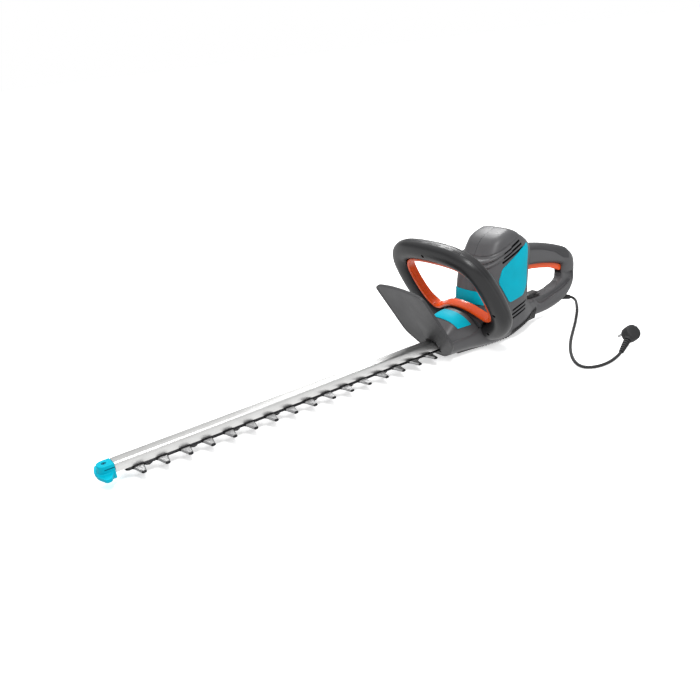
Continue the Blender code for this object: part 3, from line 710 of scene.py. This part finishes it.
def grown(outline, by):
    """An outline moved outwards by the same distance all round."""
    area = sum(outline[i - 1][0] * p[1] - p[0] * outline[i - 1][1] for i, p in enumerate(outline))
    sign = 1 if area > 0 else -1
    out = []
    for i, p in enumerate(outline):
        a, b, c = Vector(outline[i - 1]), Vector(p), Vector(outline[(i + 1) % len(outline)])
        n0 = Vector(((b - a).y, -(b - a).x)).normalized() * sign
        n1 = Vector(((c - b).y, -(c - b).x)).normalized() * sign
        n = (n0 + n1)
        out.append(tuple(b + n * by / max(0.35, (1 + n0.dot(n1)))))
    return out


def make_body():
    steps = []
    for shift in (-3.2, -10.4):
        front = box("step_front", (150, -90, 60), (272, 90, 260))
        steps.append(common(rim_band("step", shift, 4.2), tower("step_form", -2.5), front))
    low, bar = lower("l"), grip("g")
    for side in (-1, 1):
        near, far = sorted((side * 10.5, side * 40))
        cutter = prism("side_step", rounded(BAR_STEP, [2, 9, 9, 9, 4, 4, 4, 4, 4, 2], 4), near, far, "Y")
        cut(low, cutter, keep=True)
        cut(bar, cutter)
        bead = spline([(x, side * y, z) for x, y, z in BAR_RIDGE], 40)
        section = oval(0, 0, 1.9, 1.9, 2, 12)
        steps.append(loft("ridge", [[(p.x, p.y + c, p.z + d) for c, d in section] for p in bead]))
    body = together("body_skin", [tower("t"), low, bar] + steps)
    melted(body, 1.3, 4, "body")
    cut(body, slab("front", GUARD_X, GUARD_LEAN, -200, 4.3))
    cut(body, over_rim("over", -0.3))
    for side in (-1, 1):
        low, high = sorted((side * 25, side * 70))
        seat = prism("seat", rounded(grown(PANEL, 0.5), 5.5), low, high, "Y", "recess")
        cut(seat, tower("core", 1.3))
        cut(body, seat)
        for vent in vent_cutters(side, UPPER_VENTS + LOWER_VENTS):
            cut(body, vent)
    seat = prism("seat", grown(BAND, 0.5), -70, 70, "Y", "recess")
    cut(seat, tower("core", 1.2))
    cut(body, seat)
    cut(body, hump("hump_seat", -0.7, "recess"))
    cut(body, box("mouth", (100, -13.6, 10.5), (200, 13.6, RAIL_TOP + 0.6), "recess"))
    for shell in loop_shells(0.7, "recess"):
        cut(body, shell)
    cut(body, prism("trigger_seat", trigger_outline(5.0, 8.0), -6.6, 6.6, "Y", "recess"))
    cut(body, prism("pocket", rounded(BAR_POCKET, 5, 4), -11, 11, "Y", "soft"))
    for name, low, high in (("housing_left_shell", -200, -0.2), ("housing_right_shell", 0.2, 200)):
        half = common(copy_of(body, name), box("side", (50, low, -50), (500, high, 400)))
        shade(half, 38)
        stands_for(half, name[:-6], name=name)
    bpy.data.objects.remove(body, do_unlink=True)


def make_cap():
    cap = common(tower("cap_form", -0.7), over_rim("over"))
    melted(cap, 1.0, 4, "body")
    cut(cap, box("seam", (100, -0.25, 100), (400, 0.25, 300), "recess"))
    stands_for(shade(cap, 38), "motor_cap", name="cap_shell")


def make_panels():
    for side, node in ((-1, "side_panel_left"), (1, "side_panel_right")):
        low, high = sorted((side * 25, side * 70))
        panel = common(tower("panel", -0.9, "teal"), prism("window", rounded(PANEL, 5), low, high, "Y"))
        cut(panel, tower("under", 1.0))
        stands_for(bevelled(panel, 0.7), node, name=node + "_cover")


def make_band():
    band = common(tower("band", -0.9, "teal"), prism("window", BAND, -70, 70, "Y"))
    cut(band, tower("under", 1.0))
    cut(band, lower("under_low", -0.5))
    stands_for(bevelled(band, 0.6), "tower_band", name="tower_band_cover")


# ------------------------------------------------------------------ gearbox cover
HUMP_BASE = 37.5
HUMP = ((112, 24, 40), (126, 29, 47), (140, 33, 59), (153, 35, 68), (168, 36.5, 71.5), (200, 37.5, 73))


def hump(name, off=0.0, look=None, foot=0.0):
    rings = []
    for x, half, top in between(HUMP, 6):
        ring = []
        for k in range(41):
            t = math.pi * k / 40
            c, s = math.cos(t), max(math.sin(t), 0.0)
            drop = foot if s < 0.01 else 0.0
            ring.append((x, math.copysign(abs(c) ** 0.8, c) * (half + off),
                         HUMP_BASE - off + s ** 0.8 * (top - HUMP_BASE + 2 * off) - drop))
        rings.append(ring)
    return loft(name, rings, look)


def make_cover():
    cover = cut(hump("cover_form", foot=4.5), slab("front", GUARD_X, GUARD_LEAN, -200, 4.5),
                slab("rear", LOOP_X, LOOP_LEAN, -11.6, 200))
    melted(cover, 1.0, 5, "body")
    seat = common(hump("seat", 6, "recess"), slab("window", LOOP_X, LOOP_LEAN, -44.5, -19.5))
    cut(seat, hump("core", -0.7), box("trim", (50, -80, 0), (260, 80, 51.5)))
    cut(cover, seat)
    stands_for(shade(cover, 38), "gearbox_cover", name="cover_shell")
    insert = common(hump("insert", 0.9, "teal"), slab("window", LOOP_X, LOOP_LEAN, -44, -20))
    cut(insert, hump("under", -0.5), box("trim", (50, -80, 0), (260, 80, 52)))
    stands_for(bevelled(insert, 0.6), "cover_insert", name="cover_insert_skin")


def make_collar():
    arch = [(-36, 30), (-48, 46), (-42, 54), (-25, 62), (0, 65.3), (25, 62), (42, 54), (48, 46), (36, 30)]
    shape = rounded(arch, [0, 4, 6, 8, 10, 8, 6, 4, 0])
    rings = [[on_plane(LOOP_X, LOOP_LEAN, y, h, n) for y, h in shape] for n in (-11.2, 30)]
    collar = loft("collar", rings, "guard")
    cut(collar, tower("under", -1.6), lower("under_low", -0.5), *loop_shells(0.8))
    cut(collar, box("trim", (100, -80, 0), (300, 80, 43.5)))
    stands_for(bevelled(collar, 1.6, 4), "cover_collar", name="collar_ring")


# ------------------------------------------------------------------ loop handle and its switch bar
LOOP_PATH = ((47, 22), (66, 31), (84, 46), (96, 66), (100, 92), (99.5, 122), (94, 150), (80, 171), (56, 182),
             (28, 186), (0, 187))
LOOP_R = 16.5
SCREWS = ((2, 188), (-101, 84), (101, 84), (-60, 31), (60, 31))
BAIL_PATH = (
    (0, 71.5), (24, 68.5), (43, 60), (57, 53.5), (69, 57), (77, 72), (81, 98), (80.5, 124), (75, 146), (61, 160),
    (33, 165.6), (0, 166.6),
)


def loop_shells(off=0.0, look=None):
    """The loop's two half shells; the front one faces the blade."""
    pts = [(-y, h, 0) for y, h in LOOP_PATH] + [(y, h, 0) for y, h in reversed(LOOP_PATH[:-1])]
    path = spline(pts, 120)
    shells = []
    for front in (-1, 1):
        rings = []
        for i, p in enumerate(path):
            t = (path[min(i + 1, 119)] - path[max(i - 1, 0)]).normalized()
            side = Vector((-t.y, t.x, 0))
            ring = []
            for k in range(25):
                a = math.pi * k / 24
                s = side * math.cos(a) * (LOOP_R + off)
                depth = front * (0.15 - off + math.sin(a) ** 0.9 * (LOOP_R * 0.92 + off * 2))
                ring.append(on_plane(LOOP_X, LOOP_LEAN, p.x + s.x, p.y + s.y, depth))
            rings.append(ring)
        shells.append(loft("loop_front" if front < 0 else "loop_rear", rings, look, smooth=50))
    return shells


def bail_rings(path, sizes):
    rings = []
    n = len(path)
    for i, p in enumerate(path):
        t = (path[(i + 1) % n] - path[i - 1]).normalized()
        side = Vector((-t.y, t.x, 0))
        rings.append([on_plane(LOOP_X, LOOP_LEAN, (p + side * s).x, (p + side * s).y, d) for s, d in sizes])
    return rings


def bail_path(count):
    right = [(y, h, 0) for y, h in BAIL_PATH]
    return spline(right + [(-y, h, 0) for y, h in reversed(BAIL_PATH[1:-1])], count, cyclic=True)


def make_loop():
    path = bail_path(104)
    for shell, node in zip(loop_shells(0, "loop"), ("front_handle_front", "front_handle_rear")):
        for lift in (0.0, 1.6, 3.2):
            line = [p + Vector((0, lift, 0)) for p in path]
            cut(shell, loft("groove", bail_rings(line, oval(0, 0, 3.4, 8.8, 5.0, 24)), "recess", closed=True))
        if node.endswith("front"):
            for y, h in SCREWS:
                middle = Vector(on_plane(LOOP_X, LOOP_LEAN, y, h, -30))
                way = Vector(on_plane(LOOP_X, LOOP_LEAN, y, h, 0)) - middle
                cut(shell, turned("well", [(2.9, 0), (2.9, 24)], middle, way, "recess", 28))
        stands_for(bevelled(shell, 0.5, 2, 50), node, name=node + "_shell")
    for k, (y, h) in enumerate(SCREWS):
        middle = Vector(on_plane(LOOP_X, LOOP_LEAN, y, h, -9))
        way = Vector(on_plane(LOOP_X, LOOP_LEAN, y, h, -10)) - middle
        screw = turned("handle_screw_%d" % (k + 1), [(2.5, -4), (2.5, 1.2), (2.1, 1.8)], middle, way, "screw", 24)
        cut(screw, turned("socket", [(1.1, 0.4), (1.1, 4)], middle, way, "recess", 6))
        stands_for(screw, None)


def make_bail():
    path = bail_path(132)
    section = [(-2.5, -7.0), (-1.7, -7.6), (1.0, -7.6), (1.9, -6.9), (2.3, -5.2), (2.55, -2.0), (2.55, 2.0),
               (2.3, 5.2), (1.9, 6.9), (1.0, 7.6), (-1.7, 7.6), (-2.5, 7.0), (-2.6, 0)]
    bail = loft("bail", bail_rings(path, section), "orange", closed=True, smooth=32)
    stands_for(bail, "front_switch_bail", "bail", "bail_bar")


# ------------------------------------------------------------------ guard
GUARD = [(-60, 24), (-60.5, 131), (-44, 138), (-16, 141.5), (16, 141.5), (44, 138), (60.5, 131), (60, 24), (36, -3),
         (14, -15.5), (-14, -15.5), (-36, -3)]
GUARD_ROUND = [14, 8, 8, 8, 8, 8, 8, 14, 10, 6, 6, 10]


def plate(name, shape, n0, n1, look):
    return loft(name, [[on_plane(GUARD_X, GUARD_LEAN, y, h, n) for y, h in shape] for n in (n0, n1)], look)


def make_guard():
    guard = plate("guard_form", rounded(GUARD, GUARD_ROUND, 8), 0, 4, "guard")
    inner = grown(GUARD, -2.8)
    cut(guard, plate("dish", rounded(inner, [r * 0.85 for r in GUARD_ROUND], 8), -2, 0.55, "guard"))
    cut(guard, plate("dish_rear", rounded(inner, [r * 0.85 for r in GUARD_ROUND], 8), 3.0, 8, "guard"))
    for h in (19.5, 22.5):
        mark = rounded([(-9, h), (-9, h + 1.0), (9, h + 1.0), (9, h)], 0.4, 2)
        cut(guard, plate("mark", mark, -1, 1.1, "recess"))
    cut(guard, box("mouth", (60, -12.4, 11.0), (220, 12.4, RAIL_TOP + 1.0), "recess"))
    stands_for(bevelled(guard, 0.7), "hand_guard", name="guard_plate")


# ------------------------------------------------------------------ rear controls
def trigger_outline(grow=0.0, up=0.0):
    end = 0.3 * grow
    top = [(334 - end, 108.5), (354, 107.5), (390, 101.5), (416, 94.5), (431 + end, 89)]
    low = [(433 + end, 82), (429 + end, 77), (422, 81), (406, 88), (380, 94), (354, 98.5), (334 - end, 99.5)]
    return [(x, z + up) for x, z in top] + [(x, z - grow) for x, z in low]


def make_trigger():
    outline = trigger_outline()
    side = [(x, z) for x, z in rounded(outline, [2, 9, 9, 9, 4, 4, 4, 8, 9, 9, 9, 2], 5)]
    trigger = prism("trigger_form", side, -5.8, 5.8, "Y", "orange")
    stands_for(bevelled(trigger, 1.6, 4, 40), "rear_trigger", "trigger", "trigger_bar")


def make_inlay():
    edge = [(338, 160), (338, 139), (372, 132), (404, 120), (427, 104), (440, 100), (445, 130)]
    inlay = common(grip("inlay", -0.9, "soft"), prism("window", edge, -30, 30, "Y"))
    cut(inlay, grip("under", 0.6), tower("tower_under", -0.6))
    stands_for(bevelled(inlay, 0.4, 2), "rear_grip_insert", name="grip_inlay")


def make_hook():
    outline = [(340, 34), (374, 36), (374, 49), (359, 48), (359, 50.4), (370, 51.4), (370, 54), (350, 53), (340, 50)]
    hook = prism("hook", rounded(outline, [1, 1, 1.5, 1, 1, 1.5, 1.5, 3, 3], 3), -6.5, 6.5, "Y", "dark")
    cut(hook, grip("under", 1.0), lower("under_low", 1.0))
    stands_for(bevelled(hook, 0.5, 2), "cable_hook", name="lead_hook")


# ------------------------------------------------------------------ underside
def rib_ring(rows, x, grow):
    """The outline of the rubber strip under the housing at one station."""
    _, hb, ht, z0, knee, _ = min(rows, key=lambda row: abs(row[0] - x))
    rise = min(max((x - 262) / 10, 0.0), 1.0)
    knee, wide = z0 + 3 + (knee - z0 - 3) * rise, hb + (ht - hb) * rise
    low = max(z0 - max(x - 320, 0) * 0.13 - grow, 0.02)
    half = [(wide + grow - 0.4, knee + 2.5), (wide + grow, knee), (hb + grow, low + 1.0), (hb - 3, low)]
    top = [(x, wide - 4, knee + 3), (x, 4 - wide, knee + 3)]
    return [(x, -y, z) for y, z in half] + [(x, y, z) for y, z in reversed(half)] + top


def make_base():
    outline = [(158, 4.8), (180, 3.4), (205, 1.3), (222, 0), (250, 0), (270, 2.2), (290, 5.4), (290, 8.2),
               (158, 8.2)]
    base = prism("base_form", outline, -25.2, 25.2, "Y", "dark")
    stands_for(bevelled(base, 0.6), "base_plate", name="base_cover")
    rows = between(LOWER, 12)
    ribs = [loft("strip", [rib_ring(rows, x, -0.2) for x in range(213, 352, 4)], "dark", smooth=60)]
    for k in range(22):
        x = 213.5 + 6.4 * k
        steps = ((-2.4, -1.0), (-2.0, 0.8), (-1.0, 2.0), (1.0, 2.0), (2.0, 0.8), (2.4, -1.0))
        ribs.append(loft("rib", [rib_ring(rows, x + d, g) for d, g in steps], "dark", smooth=60))
    stands_for(together("foot_ribs", ribs), None)


# ------------------------------------------------------------------ blades, rail and tip
def blade_outline():
    top = []
    for i in range(TEETH):
        x = FIRST_TOOTH + PITCH * i
        half = [(8.8, BAR_HALF), (7.4, BAR_HALF + 2.5), (3.3, SPAN_HALF - 1.2), (2.2, SPAN_HALF)]
        top += [(x - dx, y) for dx, y in half] + [(x + dx, y) for dx, y in reversed(half)]
    front = FIRST_TOOTH - 17
    tail = [(GEAR_X - 34, BAR_HALF), (GEAR_X - 30, 22), (GEAR_X + 26, 22), (GEAR_X + 30, 18)]
    side = [(front + 3, BAR_HALF)] + top + tail
    return [(front, 9)] + side + [(x, -y) for x, y in reversed(side)] + [(front, -9)]


def bolt_xs():
    return [FIRST_TOOTH + PITCH * (0.5 + 2 * k) for k in range(8)]


def make_blades():
    for node, low, high, upper in (("upper_blade", 16.2, 18.2, True), ("lower_blade", 14.0, 15.8, False)):
        outline = blade_outline()
        ground = grown(outline, -1.5)
        if upper:
            levels = [(outline, low), (outline, low + 0.5), (ground, high)]
        else:
            levels = [(ground, low), (outline, high - 0.5), (outline, high)]
        blade = loft("blade", [[(x, y, z) for x, y in line] for line, z in levels], "blade", smooth=20)
        reach = STROKE + 3.4
        for x in bolt_xs():
            slot = [(x - reach, -2.9), (x + reach, -2.9), (x + reach, 2.9), (x - reach, 2.9)]
            cut(blade, prism("slot", rounded(slot, 2.8), low - 1, high + 1))
        yoke = rounded([(GEAR_X - 24, -16), (GEAR_X + 24, -16), (GEAR_X + 24, 16), (GEAR_X - 24, 16)], 6)
        cut(blade, prism("yoke", yoke, low - 1, high + 1))
        body = "blade_upper" if upper else "blade_lower"
        stands_for(shade(blade, 18), node, body, node + "_ground")


def make_rail():
    wide, narrow, wall, base = 11.2, 9.2, 2.2, 18.6
    outer = [(-wide, base), (-wide, RAIL_TOP - 7), (-narrow - 0.4, RAIL_TOP - 1.6), (-narrow + 0.9, RAIL_TOP),
             (narrow - 0.9, RAIL_TOP), (narrow + 0.4, RAIL_TOP - 1.6), (wide, RAIL_TOP - 7), (wide, base)]
    inner = [(wide - wall, base), (wide - wall, RAIL_TOP - 7.4), (narrow - wall, RAIL_TOP - wall),
             (wall - narrow, RAIL_TOP - wall), (wall - wide, RAIL_TOP - 7.4), (wall - wide, base)]
    rail = prism("rail_form", outer + inner, -419.0, 148.0, "X", "rail")
    stands_for(bevelled(rail, 0.35, 2, 20), "guide_rail", name="rail_channel")


def make_bolts():
    for k, x in enumerate(bolt_xs()):
        node = "blade_bolt_%d" % (k + 1)
        base = 8.4
        profile = [(4.6, base), (5.9, base + 0.9), (5.9, base + 4.3), (5.4, base + 5.2)]
        nut = turned("nut", profile, (x, 0, 0), (0, 0, 1), "black", 6, 20)
        washer = turned("washer", [(6.0, base + 4.9), (6.0, base + 5.2)], (x, 0, 0), (0, 0, 1), "black", 32)
        profile = [(1.8, base), (2.4, base + 0.5), (2.4, RAIL_TOP - 2.6)]
        pin = turned("pin", profile, (x, 0, 0), (0, 0, 1), "black", 20)
        stands_for(shade(together("bolt", [nut, washer, pin]), 30), node, name=node + "_set")


def make_tip():
    wings = [(-421, -9), (-430, -26), (-437, -26), (-443, -9), (-443, 9), (-437, 26), (-430, 26), (-421, 9)]
    tip = prism("tip", rounded(wings, 5, 5), 15.5, 20.5, "Z")
    nose = [(-419.3, -10.8), (-435, -10.4), (-440, -4), (-440, 4), (-435, 10.4), (-419.3, 10.8)]
    nose = prism("nose", rounded(nose, [0, 4, 4, 4, 4, 0], 6), 10.5, 31.8, "Z")
    join(tip, nose, box("tongue", (-425, -6.6, 21), (-408, 6.6, 29)))
    melted(tip, 0.55, 4, "teal")
    for side in (-1, 1):
        low, high = sorted((side * 9.7, side * 14))
        # the groove and well cutters paint their walls with darker teal as shade
        cut(tip, box("groove", (-433, low, 25.8), (-415, high, 27.2), "deep"))
    cut(tip, turned("well", [(3.4, 30.4), (3.4, 36)], (-430, 0, 0), (0, 0, 1), "deep", 36))
    stands_for(shade(tip, 38), "tip_protector", name="tip_nose")
    profile = [(1.8, 22), (1.8, 30.4), (3.0, 30.5), (3.1, 31.0), (2.7, 31.5), (1.8, 31.7)]
    head = turned("head", profile, (-430, 0, 0), (0, 0, 1), "deep", 32)
    cut(head, turned("socket", [(1.2, 30.9), (1.2, 35)], (-430, 0, 0), (0, 0, 1), "recess", 6))
    stands_for(head, "tip_screw", name="tip_screw_head")


# ------------------------------------------------------------------ hidden parts keep their solids
def paint_rest():
    looks = {"armature_shaft": "copper", "motor_stator": "iron", "drive_gear": "steel", "lower_bearing": "steel",
             "upper_bearing": "steel", "gear_bearing": "steel", "front_switch": "dark", "rear_switch": "dark",
             "plug_pin_1": "steel", "plug_pin_2": "steel"}
    for node, look in looks.items():
        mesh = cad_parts[node].data
        mesh.materials.clear()
        mesh.materials.append(LOOKS[look])


# ------------------------------------------------------------------ order of making
make_camera()
make_stage()
make_looks()
make_lead()
make_body()
make_cap()
make_panels()
make_band()
make_cover()
make_collar()
make_loop()
make_bail()
make_guard()
make_trigger()
make_inlay()
make_hook()
make_base()
make_blades()
make_rail()
make_bolts()
make_tip()
paint_rest()
